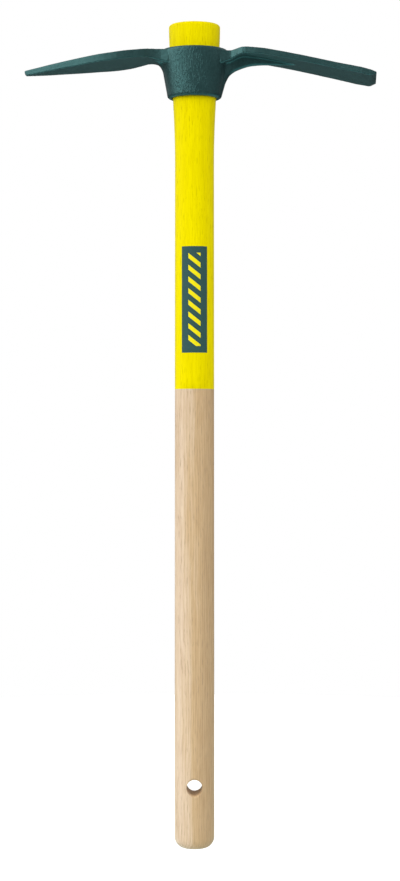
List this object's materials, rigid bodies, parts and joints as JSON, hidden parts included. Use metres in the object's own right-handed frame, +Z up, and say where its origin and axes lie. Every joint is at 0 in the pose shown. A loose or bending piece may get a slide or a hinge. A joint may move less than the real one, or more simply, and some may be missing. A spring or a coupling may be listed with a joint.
{
  "type": "pick mattock",
  "caption": "Pick mattock with a forged head, one pointed leaf blade and one flat blade, on a straight oval wooden handle with a hanging hole.",
  "frame": {"origin": "centre of the flat end face of the handle's butt, on the handle's axis", "axes": "+Z up the handle towards the head, +X towards the flat blade, -Y is the side with the label and the near mouth of the hanging hole"},
  "size_m": [0.4086, 0.0636, 0.95],
  "materials": {
    "handle_wood": "sanded ash, bare on the lower part, yellow lacquer on the upper part",
    "head_steel": "forged steel under dark petrol green satin lacquer",
    "label_film": "dark green transfer film with plain yellow bars"
  },
  "bodies": {
    "handle": {"handle": "handle_wood", "label_panel": "label_film"},
    "head": {"head": "head_steel"}
  },
  "joints": [
    {"name": "head_slide", "type": "slide", "parent": "handle", "child": "head", "axis": [0, 0, -1], "range_m": [0, 0.93]}
  ]
}
